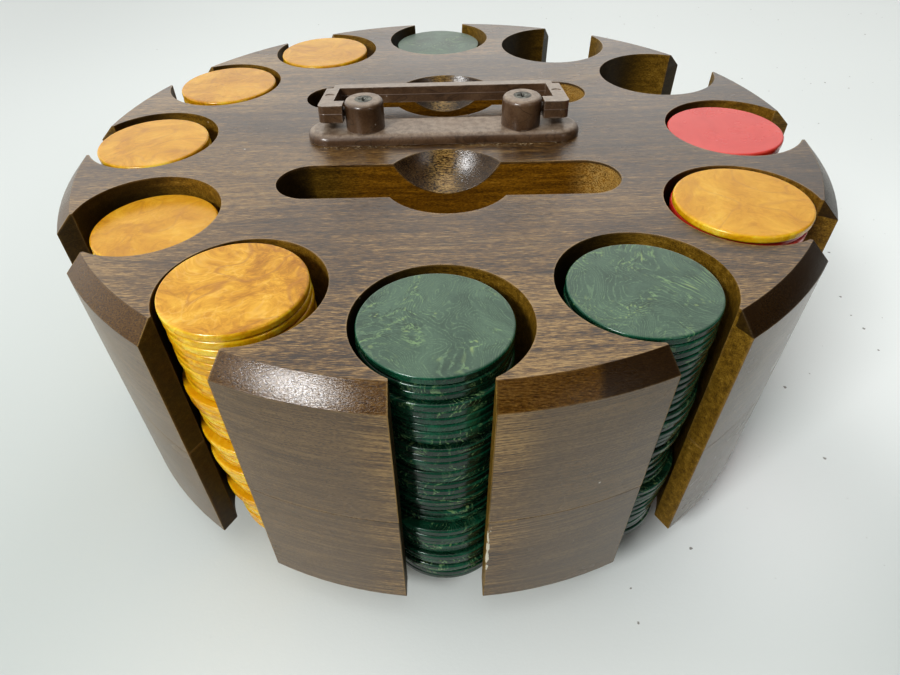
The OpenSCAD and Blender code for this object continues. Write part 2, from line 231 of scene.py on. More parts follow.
# ---- finishes ----
def rack_wood(name, seed, ring_y, ring_z, paler):
    """Dark walnut stain over a pale close-grained wood, satin lacquer, edges rubbed paler.

    The grain runs along X. ring_y and ring_z place the heart of the tree for this board, and
    paler shifts its tone."""
    s = Shader(name)
    p = s.place()
    x, y, z = s.split(p)
    n = s.rest_normal()
    n_x, n_y, n_z = s.split(n)
    cross = s.math("ABSOLUTE", n_x)

    # where on the rack this point is
    radius = s.vector("LENGTH", s.join(x, y, 0.0))
    angle = s.math("WRAP", s.math("ARCTAN2", y, x), WELL_STEP / 2, -WELL_STEP / 2)
    along = s.math("MULTIPLY", radius, s.math("COSINE", angle))
    aside = s.math("MULTIPLY", radius, s.math("SINE", angle))
    to_well = s.vector("LENGTH", s.join(s.math("SUBTRACT", along, WELL_RING_R), aside, 0.0))
    in_well = s.step(to_well, WELL_R + 0.0001, WELL_R + 0.0005, 1.0, 0.0)
    at_side = s.step(s.math("ABSOLUTE", aside), THROAT_HALF + 0.0001, THROAT_HALF + 0.0005, 1.0, 0.0)
    in_throat = s.math("MULTIPLY", at_side, s.math("GREATER_THAN", radius, WELL_RING_R))
    sunk = s.step(z, TOP_Z - 0.0012, TOP_Z - 0.0004, 1.0, 0.0)
    in_slot = s.math("MULTIPLY", s.math("LESS_THAN", radius, 0.072), sunk)
    flat_top = s.step(n_z, 0.86, 0.97)
    to_dish = s.vector("LENGTH", s.join(s.math("SUBTRACT", x, SLOT_X), s.math("SUBTRACT", s.math("ABSOLUTE", y), SLOT_Y), s.math("SUBTRACT", z, DISH_Z)))
    in_dish = s.near(to_dish, DISH_R, 0.0004)
    inner = s.math("MAXIMUM", s.math("MAXIMUM", in_well, in_throat), in_slot)
    top_face = s.math("MULTIPLY", flat_top, s.step(z, TOP_Z - 0.001, TOP_Z - 0.0002))
    inner = s.math("MULTIPLY", inner, s.math("SUBTRACT", 1.0, s.math("MAXIMUM", top_face, in_dish)))

    above_bevel = s.step(z, TOP_Z - BEVEL_H - 0.0001, TOP_Z - BEVEL_H + 0.0002)
    on_bevel = s.math(
        "MULTIPLY", s.step(radius, RACK_R_FULL - 0.0056, RACK_R_FULL - 0.0053), above_bevel
    )
    outer = s.math("MULTIPLY", s.step(radius, RACK_R_FULL - 0.004, RACK_R_FULL - 0.002), s.step(n_z, 0.1, 0.3, 1.0, 0.0))

    # grain
    shift = s.vector("ADD", p, (seed, seed * 0.37, seed * 0.71))
    sway = s.noise_vector(s.scaled(shift, (6.0, 16.0, 16.0)), 1.0, 2.0)
    bent = s.vector("ADD", shift, s.scaled(sway, (0.0, 0.011, 0.011)))
    _, bent_y, bent_z = s.split(bent)
    heart = s.join(
        0.0,
        s.math("SUBTRACT", bent_y, seed * 0.37 + ring_y),
        s.math("SUBTRACT", bent_z, seed * 0.71 + ring_z),
    )
    rings = s.math("SINE", s.math("MULTIPLY", s.vector("LENGTH", heart), 1300.0))
    cloud = s.noise(s.scaled(bent, (11.0, 42.0, 42.0)), 1.0, 2.0, 0.5)
    streak = s.noise(s.scaled(bent, (42.0, 620.0, 620.0)), 1.0, 3.0, 0.65)
    fibre = s.noise(s.scaled(bent, (330.0, 3600.0, 3600.0)), 1.0, 3.0, 0.75)
    pores, _ = s.cells(s.scaled(bent, (300.0, 2900.0, 2900.0)), 1.0)
    pores = s.step(pores, 0.10, 0.40, 1.0, 0.0)
    speckle = s.noise(s.scaled(bent, (1100.0, 3000.0, 3000.0)), 1.0, 2.0, 0.75)

    tone = s.math("MULTIPLY", s.math("SUBTRACT", streak, 0.5), 0.60)
    tone = s.math("ADD", tone, s.math("MULTIPLY", s.math("SUBTRACT", cloud, 0.5), 0.65))
    tone = s.math("ADD", tone, s.math("MULTIPLY", s.math("SUBTRACT", fibre, 0.5), 1.55))
    tone = s.math("ADD", tone, s.math("MULTIPLY", rings, 0.022))
    tone = s.math("ADD", tone, s.step(y, -0.13, -0.02, 0.57, 0.40))
    contrast = s.blend(outer, s.step(y, -0.13, -0.05, 1.75, 1.0), 0.80)
    tone = s.math("ADD", s.math("MULTIPLY", s.math("SUBTRACT", tone, 0.5), contrast), 0.5)
    tone = s.math("ADD", tone, s.step(x, -0.10, 0.0, 0.13, 0.0))
    layers = s.noise(s.scaled(bent, (26.0, 45.0, 2100.0)), 1.0, 3.0, 0.7)
    layers = s.math("MULTIPLY", s.math("SUBTRACT", layers, 0.47), 1.7)
    layers = s.math("MULTIPLY", layers, outer)
    tone = s.math("ADD", s.math("ADD", tone, layers), paler)
    long_grain = s.ramp(
        tone,
        (
            (0.16, (0.014, 0.006, 0.002)),
            (0.34, (0.046, 0.021, 0.005)),
            (0.50, (0.102, 0.050, 0.012)),
            (0.64, (0.190, 0.105, 0.028)),
            (0.84, (0.360, 0.225, 0.078)),
        ),
    )
    fleck = s.noise(s.scaled(bent, (52.0, 900.0, 900.0)), 1.0, 2.0, 0.6)
    fleck = s.math("MULTIPLY", s.step(fleck, 0.56, 0.72), s.step(cloud, 0.44, 0.60))
    fleck = s.math("MULTIPLY", fleck, s.math("SUBTRACT", 1.0, outer))
    long_grain = s.mix(s.math("MULTIPLY", fleck, 0.35), long_grain, (0.400, 0.270, 0.110))
    end_grain = s.ramp(
        s.math("ADD", s.math("MULTIPLY", speckle, 0.6), s.math("MULTIPLY", tone, 0.4)),
        (
            (0.28, (0.010, 0.005, 0.002)),
            (0.44, (0.034, 0.019, 0.009)),
            (0.56, (0.068, 0.040, 0.019)),
            (0.74, (0.150, 0.092, 0.040)),
        ),
    )
    wander = s.noise(s.scaled(shift, (20.0, 20.0, 38.0)), 1.0, 1.0)
    wander = s.math("MULTIPLY", s.math("SUBTRACT", wander, 0.5), 0.12)
    ends = s.step(s.math("ADD", cross, wander), 0.07, 0.20)
    end_grain = s.mix(s.math("MULTIPLY", outer, 0.5), end_grain, (0.150, 0.092, 0.040))
    colour = s.mix(s.math("MULTIPLY", ends, 0.85), long_grain, end_grain)
    cut_grain = s.ramp(
        s.math("ADD", s.math("MULTIPLY", speckle, 0.55), s.math("MULTIPLY", fibre, 0.45)),
        (
            (0.32, (0.018, 0.007, 0.001)),
            (0.48, (0.078, 0.034, 0.004)),
            (0.60, (0.130, 0.064, 0.009)),
            (0.74, (0.240, 0.140, 0.032)),
        ),
    )
    colour = s.mix(s.math("MULTIPLY", on_bevel, 0.9), colour, cut_grain)

    # the cut faces of the wells and slots are more golden, and those that face right are painted
    # darker: painted shade, as the light falls from the left
    gold = s.ramp(
        s.math("ADD", s.math("MULTIPLY", speckle, 0.55), s.math("MULTIPLY", streak, 0.45)),
        (
            (0.30, (0.030, 0.015, 0.001)),
            (0.48, (0.165, 0.090, 0.006)),
            (0.60, (0.300, 0.178, 0.022)),
            (0.74, (0.440, 0.310, 0.100)),
        ),
    )
    # painted shade: cut faces that face right are darkened
    shade_facing_right = s.step(n_x, -0.35, 0.45, 0.0, 0.84)
    gold = s.mix(shade_facing_right, gold, (0.014, 0.009, 0.002))
    colour = s.mix(s.math("MULTIPLY", inner, 0.92), colour, gold)
    # painted light: the slot walls are brightened golden from the middle to the right, where the light from the left
    # falls into them
    slot_wall_lit = s.math("MULTIPLY", in_slot, s.math("SUBTRACT", 1.0, in_dish))
    slot_wall_lit = s.math("MULTIPLY", slot_wall_lit, s.step(x, -0.040, -0.020))
    colour = s.mix(s.math("MULTIPLY", slot_wall_lit, 0.9), colour, (1.65, 1.32, 0.60), "MULTIPLY")
    streak_lit = s.math("MULTIPLY", in_dish, s.near(x, SLOT_X - 0.001, 0.008))
    streak_lit = s.math("MULTIPLY", streak_lit, s.step(s.math("ADD", speckle, fibre), 0.90, 1.10))
    colour = s.mix(s.math("MULTIPLY", streak_lit, 0.7), colour, (0.520, 0.340, 0.110))
    # the far right end of the slots is painted a patchy light gold: its rough end grain, with painted light on it
    slot_end_grain_lit = s.math("MULTIPLY", in_slot, s.step(x, SLOT_X + 0.038, SLOT_X + 0.050))
    slot_end_grain_lit = s.math("MULTIPLY", slot_end_grain_lit, s.step(speckle, 0.40, 0.58))
    colour = s.mix(s.math("MULTIPLY", slot_end_grain_lit, 0.75), colour, (0.560, 0.400, 0.150))
    colour = s.mix(s.math("MULTIPLY", pores, 0.60), colour, (0.006, 0.003, 0.001))

    # stain rubbed through on the edges, patchy
    rub_noise = s.noise(s.scaled(shift, (60.0, 60.0, 60.0)), 1.0, 3.0, 0.65)
    edge = s.edge(0.0011)
    rub = s.math("MULTIPLY", edge, s.step(rub_noise, 0.34, 0.62))
    colour = s.mix(s.math("MULTIPLY", rub, 0.75), colour, (0.34, 0.22, 0.09))

    # bare pale wood where the finish is chipped off, beside the front well's open side
    to_edge = s.vector("LENGTH", s.join(s.math("SUBTRACT", x, THROAT_HALF), s.math("ADD", y, 0.1264), 0.0))
    chip_shape = s.noise(s.scaled(p, (900.0, 900.0, 330.0)), 1.0, 2.0, 0.6)
    chip_zone = s.math("MULTIPLY", s.step(to_edge, 0.0004, 0.0017, 1.0, 0.0), s.near(z, 0.043, 0.022))
    chipped = s.step(s.math("ADD", s.math("MULTIPLY", chip_zone, 0.42), chip_shape), 0.80, 0.84)
    colour = s.mix(chipped, colour, (0.62, 0.57, 0.45))

    # a few specks of dust
    spot, spot_colour = s.cells(s.scaled(p, (150.0, 150.0, 150.0)), 1.0)
    spot_pick = s.math("GREATER_THAN", s.split(spot_colour)[0], 0.93)
    dust = s.math("MULTIPLY", s.step(spot, 0.035, 0.06, 1.0, 0.0), spot_pick)
    colour = s.mix(s.math("MULTIPLY", dust, 0.8), colour, (0.62, 0.60, 0.55))

    # dust and old polish caught along the foot of the handle
    off_x = s.math("SUBTRACT", s.math("ABSOLUTE", s.math("SUBTRACT", x, PLATE_X)), PLATE_HALF)
    off_y = s.math("SUBTRACT", y, PLATE_Y)
    to_plate = s.vector("LENGTH", s.join(s.math("MAXIMUM", off_x, 0.0), off_y, 0.0))
    to_plate = s.math("SUBTRACT", to_plate, PLATE_R)
    crumbs = s.step(s.noise(p, 1300.0, 3.0, 0.75), 0.54, 0.62)
    crumbs = s.math("MULTIPLY", crumbs, s.step(to_plate, 0.0006, 0.0030, 1.0, 0.0))
    crumbs = s.math("MULTIPLY", crumbs, s.step(rub_noise, 0.42, 0.56))
    crumbs = s.math("MULTIPLY", crumbs, top_face)
    colour = s.mix(s.math("MULTIPLY", crumbs, 0.7), colour, (0.60, 0.50, 0.33))

    # relief: the bevel is slightly rounded, the grain slightly open
    height = s.math("MULTIPLY", fibre, 0.45)
    height = s.math("ADD", height, s.math("MULTIPLY", streak, 0.10))
    height = s.math("SUBTRACT", height, s.math("MULTIPLY", pores, 0.22))
    height = s.math("ADD", height, s.math("MULTIPLY", s.math("MULTIPLY", speckle, ends), 0.35))
    height = s.math("SUBTRACT", height, s.math("MULTIPLY", chipped, 1.2))
    height = s.blend(on_bevel, height, s.math("MULTIPLY", speckle, 0.7))
    height_at = s.math("SUBTRACT", z, TOP_Z - BEVEL_H / 2)
    # painted shade: the right part of the front-right bevel is painted nearly black, standing for the dark room that it
    # mirrors
    painted_dark_bevel = s.math("MULTIPLY", on_bevel, s.step(x, 0.0330, 0.0360))
    painted_dark_bevel = s.math("MULTIPLY", painted_dark_bevel, s.step(y, -0.02, -0.05))
    colour = s.mix(s.math("MULTIPLY", painted_dark_bevel, 0.8), colour, (0.014, 0.007, 0.003))
    lean = s.math("MULTIPLY", s.math("MULTIPLY", height_at, on_bevel), 60.0)
    normal = s.bump(height, 0.00018, 0.5)
    normal = s.vector("NORMALIZE", s.vector("ADD", normal, s.join(0.0, 0.0, lean)))

    wear = s.noise(s.scaled(shift, (18.0, 30.0, 30.0)), 1.0, 4.0, 0.6)
    rough = s.math("ADD", 0.24, s.math("MULTIPLY", wear, 0.22))
    rough = s.math("ADD", rough, s.math("MULTIPLY", inner, 0.12))
    rough = s.math("SUBTRACT", rough, s.math("MULTIPLY", on_bevel, 0.08))
    rough = s.math("SUBTRACT", rough, s.math("MULTIPLY", in_dish, 0.08))
    rough = s.math("ADD", rough, s.math("MULTIPLY", rub, 0.12))
    coat = s.blend(top_face, s.step(n_x, 0.0, 0.3, 0.34, 0.55), s.step(x, -0.08, 0.02, 0.60, 0.75))
    coat = s.blend(inner, coat, 0.05)
    bevel_coat = s.math("MULTIPLY", s.step(x, -0.054, -0.044, 0.15, 0.80), s.step(x, -0.034, -0.016, 1.0, 0.04))
    frost = s.noise(s.scaled(p, (2300.0, 2300.0, 2300.0)), 1.0, 2.0, 0.7)
    bevel_coat = s.math("MULTIPLY", bevel_coat, s.step(frost, 0.38, 0.60, 0.25, 1.25))
    coat = s.blend(on_bevel, coat, bevel_coat)
    gloss = s.blend(outer, 0.5, s.step(n_x, 0.0, 0.3, 0.40, 0.50))
    gloss = s.blend(on_bevel, gloss, s.step(x, -0.030, -0.015, 0.40, 0.22))
    return s.surface(
        Base_Color=colour,
        Roughness=rough,
        Normal=normal,
        IOR=1.5,
        Specular_IOR_Level=s.blend(inner, gloss, 0.25),
        Coat_Weight=coat,
        Coat_Roughness=s.math("MULTIPLY", rough, 0.75),
        Coat_Normal=normal,
    )


def chip_fields(s, scale, pitch, top_z):
    """Shared fields of the chips: a number for each chip, its own texture place, the same place
    stirred into curls, and how much of a point is on a stack's uppermost face, on any flat face
    and on the rounded rim. Uppermost faces get paler colours: partly faded finish, partly painted light."""
    p = s.place()
    level = s.math("DIVIDE", s.math("SUBTRACT", s.split(p)[2], WOOD_Z + CHIP_PLAY / 2), pitch)
    stack = s.add("ShaderNodeObjectInfo").outputs["Random"]
    spread = s.add(
        "ShaderNodeTexWhiteNoise", {"Vector": s.join(s.math("FLOOR", level), stack, 0.0)}
    )
    pick = spread.outputs["Value"]
    offset = s.join(
        s.math("MULTIPLY", pick, 7.3), s.math("MULTIPLY", pick, 3.1), s.math("MULTIPLY", pick, 11.7)
    )
    q = s.vector("ADD", p, offset)
    stirred = s.vector("ADD", q, s.scaled(s.noise_vector(q, scale, 1.5), (0.034, 0.034, 0.010)))
    stirred = s.vector(
        "ADD", stirred, s.scaled(s.noise_vector(stirred, scale * 2.6, 1.5), (0.010, 0.010, 0.004))
    )
    n_z = s.math("ABSOLUTE", s.split(s.rest_normal())[2])
    face = s.step(n_z, 0.6, 0.95)
    # mask of the uppermost faces, which are painted paler: partly a faded finish, partly painted light from above
    aged_and_lit = s.math("MULTIPLY", face, s.step(s.split(p)[2], top_z - 0.0008, top_z - 0.0002))
    return pick, q, stirred, aged_and_lit, face, s.near(n_z, 0.62, 0.40)


def chip_relief(s, q):
    """Slightly uneven polish with fine scratches."""
    height = s.math("MULTIPLY", s.noise(q, 170.0, 1.0), 0.6)
    height = s.math("ADD", height, s.math("MULTIPLY", s.noise(q, 1500.0, 2.0, 0.6), 0.12))
    return s.bump(height, 0.00018, 0.3)


def chip_yellow(name, pitch, top_z):
    """Cast phenolic, butterscotch on the uppermost faces and clear amber elsewhere; the butterscotch is partly a
    mellowed finish and partly painted light.

    Only the uppermost chip of the front stack is strongly marbled."""
    s = Shader(name)
    pick, q, stirred, aged_and_lit, face, rim = chip_fields(s, 30.0, pitch, top_z)
    swirl = s.noise(stirred, 80.0, 3.0, 0.55, 0.5)
    hair = s.noise(stirred, 520.0, 3.0, 0.65, 0.8)
    front = name.endswith(MARBLED_STACK)
    marbled = 1.0 if front else s.blend(aged_and_lit, 1.0, 0.50)
    tone = s.math("MULTIPLY", s.math("SUBTRACT", swirl, 0.5), 1.15)
    tone = s.math("ADD", tone, s.math("MULTIPLY", s.math("SUBTRACT", hair, 0.5), 0.75))
    tone = s.math("ADD", s.math("MULTIPLY", tone, marbled), s.blend(aged_and_lit, 0.5, 0.44 if front else 0.53))
    tone = s.math("ADD", tone, s.math("MULTIPLY", s.math("SUBTRACT", pick, 0.5), 0.16))
    mellow_and_lit = s.ramp(
        tone,
        (
            (0.20, (0.350, 0.140, 0.008)),
            (0.38, (0.490, 0.220, 0.012)),
            (0.52, (0.630, 0.312, 0.019)),
            (0.66, (0.740, 0.400, 0.034)),
            (0.82, (0.830, 0.520, 0.085)),
        ),
    )
    vein = s.near(s.noise(stirred, 64.0, 1.0, 0.4), 0.5, 0.030)
    vein = s.math("MULTIPLY", s.math("MULTIPLY", vein, marbled), 0.50)
    mellow_and_lit = s.mix(vein, mellow_and_lit, (0.380, 0.150, 0.030))
    thread = s.near(s.noise(stirred, 150.0, 2.0, 0.5), 0.5, 0.030)
    thread = s.math("MULTIPLY", thread, s.step(swirl, 0.45, 0.60))
    thread = s.math("MULTIPLY", s.math("MULTIPLY", thread, marbled), 0.30)
    mellow_and_lit = s.mix(thread, mellow_and_lit, (0.860, 0.560, 0.150))
    clear = s.ramp(
        tone,
        (
            (0.20, (0.420, 0.165, 0.001)),
            (0.40, (0.630, 0.325, 0.003)),
            (0.58, (0.750, 0.450, 0.008)),
            (0.80, (0.850, 0.630, 0.070)),
        ),
    )
    colour = s.mix(s.math("MULTIPLY", face, 0.5), clear, (0.720, 0.380, 0.006))
    # painted light: the uppermost faces take the paler butterscotch ramp, partly a mellowed finish and partly light and
    # sheen from above
    colour = s.mix(aged_and_lit, colour, mellow_and_lit)
    rough = s.math("ADD", 0.16, s.math("MULTIPLY", s.noise(q, 60.0, 3.0, 0.6), 0.16))
    return s.surface(
        Base_Color=colour,
        Roughness=rough,
        Normal=chip_relief(s, q),
        IOR=1.6,
        Specular_IOR_Level=s.blend(aged_and_lit, 0.5, 0.32),
        Subsurface_Weight=0.3,
        Subsurface_Radius=(1.0, 0.55, 0.08),
        Subsurface_Scale=0.002,
    )


def chip_green(name, pitch, top_z):
    """Dark green cast phenolic with pale green flecks drawn out in curls."""
    s = Shader(name)
    pick, q, stirred, aged_and_lit, face, rim = chip_fields(s, 30.0, pitch, top_z)
    swirl = s.noise(stirred, 75.0, 3.0, 0.6, 0.6)
    curl = s.math("MULTIPLY", s.noise(stirred, 34.0, 1.0, 0.4), 210.0)
    curl = s.math("ADD", curl, s.math("MULTIPLY", s.noise(q, 420.0, 2.0), 5.0))
    lines = s.step(s.math("SINE", curl), 0.40, 1.0)
    patch = s.step(s.noise(q, 90.0, 2.0, 0.5, 0.6), 0.46, 0.62)
    grit = s.step(s.noise(stirred, 1500.0, 3.0, 0.75), 0.42, 0.60)
    broken = s.math("MULTIPLY", lines, grit)
    threads = s.math("MULTIPLY", broken, patch)
    fine = s.math("ADD", s.math("MULTIPLY", s.noise(stirred, 48.0, 2.0, 0.5), 330.0), curl)
    fine = s.math("MULTIPLY", s.step(s.math("SINE", fine), 0.3, 1.0), s.math("ADD", 0.15, grit))
    spot, spot_colour = s.cells(stirred, 700.0)
    chosen = s.math("GREATER_THAN", s.split(spot_colour)[0], 0.80)
    spots = s.math("MULTIPLY", s.step(spot, 0.10, 0.42, 1.0, 0.0), chosen)
    spots = s.math("MULTIPLY", spots, s.math("ADD", patch, 0.15))
    grain = s.noise(q, 2200.0, 2.0, 0.7)
    tone = s.math("ADD", swirl, s.math("MULTIPLY", s.math("SUBTRACT", pick, 0.5), 0.14))
    tone = s.math("ADD", tone, s.math("MULTIPLY", s.math("SUBTRACT", grain, 0.5), 0.40))
    deep = s.ramp(
        tone, ((0.28, (0.001, 0.009, 0.004)), (0.50, (0.002, 0.026, 0.013)), (0.74, (0.007, 0.090, 0.045)))
    )
    hazed_and_lit = s.ramp(
        tone, ((0.24, (0.020, 0.046, 0.031)), (0.48, (0.050, 0.100, 0.066)), (0.72, (0.082, 0.150, 0.098)))
    )
    # painted light: the uppermost faces take the paler ramp, partly a faded finish and partly light and sheen from
    # above
    colour = s.mix(aged_and_lit, deep, hazed_and_lit)
    vein = s.math("MULTIPLY", s.near(s.noise(stirred, 130.0, 2.0, 0.6), 0.5, 0.05), patch)
    colour = s.mix(s.math("MULTIPLY", vein, 0.55), colour, (0.014, 0.036, 0.023))
    colour = s.mix(s.math("MULTIPLY", fine, s.blend(aged_and_lit, 0.16, 0.75)), colour, (0.120, 0.205, 0.120))
    colour = s.mix(s.math("MULTIPLY", threads, 0.75), colour, (0.21, 0.34, 0.15))
    colour = s.mix(s.math("MULTIPLY", spots, s.blend(face, 0.4, 0.6)), colour, (0.28, 0.38, 0.14))
    # painted light: the rounded rim is painted a brighter green, standing for light glowing through the thin edge
    colour = s.mix(s.math("MULTIPLY", rim, 0.3), colour, (0.008, 0.150, 0.080))
    rough = s.math("ADD", 0.14, s.math("MULTIPLY", s.noise(q, 70.0, 3.0, 0.6), 0.16))
    rough = s.blend(aged_and_lit, rough, s.math("ADD", rough, 0.14))
    return s.surface(
        Base_Color=colour,
        Roughness=rough,
        Normal=chip_relief(s, q),
        IOR=1.58,
        Specular_IOR_Level=s.blend(aged_and_lit, 0.38, 0.5),
        Sheen_Weight=s.math("MULTIPLY", aged_and_lit, 0.45),
        Sheen_Roughness=0.35,
    )


def chip_red(name, pitch, top_z):
    """Plain coral-red cast phenolic."""
    s = Shader(name)
    pick, q, stirred, aged_and_lit, face, rim = chip_fields(s, 30.0, pitch, top_z)
    tone = s.math("ADD", s.math("MULTIPLY", s.noise(stirred, 60.0, 3.0, 0.6), 0.8), s.math("MULTIPLY", pick, 0.2))
    faces = s.ramp(tone, ((0.3, (0.62, 0.055, 0.048)), (0.5, (0.69, 0.075, 0.064)), (0.7, (0.74, 0.100, 0.084))))
    sides = s.ramp(tone, ((0.3, (0.46, 0.018, 0.010)), (0.5, (0.60, 0.035, 0.020)), (0.7, (0.70, 0.065, 0.035))))
    # painted light and shade: the flat faces take the lighter ramp and the sides the darker one
    colour = s.mix(s.math("MAXIMUM", aged_and_lit, s.math("MULTIPLY", face, 0.3)), sides, faces)
    # painted light: the rounded rim is painted paler, standing for light glowing through the thin edge
    colour = s.mix(s.math("MULTIPLY", rim, 0.2), colour, (0.80, 0.20, 0.15))
    rough = s.math("ADD", 0.18, s.math("MULTIPLY", s.noise(q, 80.0, 3.0, 0.6), 0.16))
    return s.surface(
        Base_Color=colour,
        Roughness=rough,
        Normal=chip_relief(s, q),
        IOR=1.6,
        Subsurface_Weight=0.2,
        Subsurface_Radius=(1.0, 0.25, 0.15),
        Subsurface_Scale=0.0015,
    )


def handle_plastic(name, seed, parting):
    """Moulded brown phenolic, dulled and paler on the faces that are handled and gather dust."""
    s = Shader(name)
    p = s.place()
    x, y, z = s.split(p)
    n_x, n_y, n_z = s.split(s.rest_normal())
    shift = s.vector("ADD", p, (seed, seed, seed))
    cloud = s.noise(shift, 85.0, 4.0, 0.6)
    filler = s.noise(shift, 1500.0, 2.0, 0.7)
    tone = s.math("ADD", s.math("MULTIPLY", cloud, 0.65), s.math("MULTIPLY", filler, 0.35))
    colour = s.ramp(
        tone,
        (
            (0.30, (0.046, 0.023, 0.010)),
            (0.50, (0.098, 0.054, 0.027)),
            (0.70, (0.165, 0.101, 0.056)),
        ),
    )
    up = s.step(n_z, 0.55, 0.95)
    film = s.math("MULTIPLY", up, s.step(s.noise(shift, 420.0, 4.0, 0.75), 0.34, 0.66, 0.35, 1.0))
    colour = s.mix(s.math("MULTIPLY", film, 0.72), colour, (0.40, 0.32, 0.24))
    flow = s.near(s.noise(s.scaled(shift, (60.0, 60.0, 110.0)), 1.0, 2.0, 0.5, 1.5), 0.5, 0.022)
    flow = s.math("MULTIPLY", flow, s.math("SUBTRACT", 1.0, up))
    colour = s.mix(s.math("MULTIPLY", flow, 0.5), colour, (0.017, 0.009, 0.005))
    edge = s.edge(0.0008)
    rub = s.math("MULTIPLY", edge, s.step(s.noise(shift, 300.0, 3.0, 0.6), 0.35, 0.6))
    colour = s.mix(s.math("MULTIPLY", rub, 0.5), colour, (0.40, 0.35, 0.30))
    spot, spot_colour = s.cells(shift, 420.0)
    dust = s.math("MULTIPLY", s.step(spot, 0.07, 0.13, 1.0, 0.0), s.math("GREATER_THAN", s.split(spot_colour)[0], 0.94))
    colour = s.mix(s.math("MULTIPLY", dust, 0.6), colour, (0.6, 0.57, 0.52))
    height = s.math("ADD", s.math("MULTIPLY", s.noise(shift, 420.0, 3.0, 0.6), 0.6), s.math("MULTIPLY", filler, 0.25))
    if parting:
        level = s.vector("DOT_PRODUCT", s.vector("SUBTRACT", p, tuple(PIVOT)), (0.0, math.sin(DROOP), math.cos(DROOP)))
        line = s.near(level, 0.0, 0.00025)
        line = s.math("MULTIPLY", line, s.step(s.math("ABSOLUTE", n_z), 0.5, 0.8, 1.0, 0.0))
        height = s.math("ADD", height, s.math("MULTIPLY", line, 1.6))
        colour = s.mix(s.math("MULTIPLY", line, 0.35), colour, (0.26, 0.20, 0.17))
    normal = s.bump(height, 0.00012, 0.6)
    rough = s.math("ADD", 0.26, s.math("MULTIPLY", cloud, 0.2))
    rough = s.math("ADD", rough, s.math("MULTIPLY", film, 0.12))
    return s.surface(
        Base_Color=colour,
        Roughness=rough,
        Normal=normal,
        IOR=1.58,
        Coat_Weight=0.3,
        Coat_Roughness=0.16,
    )


def metal(name, base, worn, rough, scale=260.0, rust=None):
    """Plated or bare steel and brass with tarnish, fine scratches and dirt."""
    s = Shader(name)
    p = s.place()
    tarnish = s.noise(p, scale, 4.0, 0.65)
    grain = s.noise(s.scaled(p, (1.0, 1.0, 5.0)), 1600.0, 2.0, 0.6)
    colour = s.mix(s.step(tarnish, 0.35, 0.65), base, worn)
    if rust is not None:
        colour = s.mix(s.step(s.noise(p, scale * 1.7, 3.0, 0.7), 0.54, 0.70), colour, rust)
    colour = s.mix(s.math("MULTIPLY", s.edge(0.0004), 0.4), colour, tuple(min(1.0, c * 1.5) for c in base))
    roughness = s.math("ADD", rough, s.math("MULTIPLY", tarnish, 0.25))
    normal = s.bump(s.math("ADD", s.math("MULTIPLY", grain, 0.4), tarnish), 0.00006, 0.6)
    metallic = 1.0 if rust is None else s.step(s.noise(p, scale * 1.7, 3.0, 0.7), 0.54, 0.70, 1.0, 0.35)
    return s.surface(Base_Color=colour, Metallic=metallic, Roughness=roughness, Normal=normal)


def felt():
    """Dark green felt: matted fibres."""
    s = Shader("felt")
    p = s.place()
    mat_ = s.noise(s.vector("ADD", p, s.scaled(s.noise_vector(p, 500.0), (0.004, 0.004, 0.004))), 1500.0, 3.0, 0.7)
    broad = s.noise(p, 60.0, 3.0, 0.6)
    tone = s.math("ADD", s.math("MULTIPLY", mat_, 0.7), s.math("MULTIPLY", broad, 0.3))
    colour = s.ramp(tone, ((0.3, (0.010, 0.022, 0.011)), (0.55, (0.026, 0.052, 0.026)), (0.75, (0.060, 0.100, 0.054))))
    normal = s.bump(mat_, 0.0006, 0.9)
    return s.surface(Base_Color=colour, Roughness=0.95, Normal=normal, Sheen_Weight=0.5, Sheen_Roughness=0.5, Specular_IOR_Level=0.2)


def board(name, dark, mid, light, rough):
    """Board or plywood face with grain along X."""
    s = Shader(name)
    p = s.place()
    bent = s.vector("ADD", p, s.scaled(s.noise_vector(s.scaled(p, (5.0, 18.0, 18.0)), 1.0), (0.0, 0.010, 0.010)))
    streak = s.noise(s.scaled(bent, (18.0, 420.0, 420.0)), 1.0, 4.0, 0.62)
    fibre = s.noise(s.scaled(bent, (110.0, 2200.0, 2200.0)), 1.0, 2.0, 0.6)
    tone = s.math("ADD", s.math("MULTIPLY", streak, 0.65), s.math("MULTIPLY", fibre, 0.35))
    colour = s.ramp(tone, ((0.30, dark), (0.50, mid), (0.72, light)))
    colour = s.mix(s.math("MULTIPLY", s.edge(0.0008), 0.5), colour, tuple(min(1.0, c * 1.6) for c in light))
    return s.surface(
        Base_Color=colour,
        Roughness=s.math("ADD", rough, s.math("MULTIPLY", fibre, 0.15)),
        Normal=s.bump(s.math("ADD", fibre, s.math("MULTIPLY", streak, 0.6)), 0.00018, 0.6),
    )


def nylon():
    """Natural nylon, faintly translucent, with old grease."""
    s = Shader("cage")
    p = s.place()
    stain = s.noise(p, 120.0, 4.0, 0.6)
    colour = s.mix(s.step(stain, 0.4, 0.72), (0.66, 0.60, 0.47), (0.34, 0.27, 0.16))
    return s.surface(
        Base_Color=colour,
        Roughness=s.math("ADD", 0.32, s.math("MULTIPLY", stain, 0.2)),
        Normal=s.bump(s.noise(p, 900.0, 2.0), 0.0001, 0.4),
        Subsurface_Weight=0.15,
        Subsurface_Radius=(1.0, 0.9, 0.7),
        Subsurface_Scale=0.0008,
    )


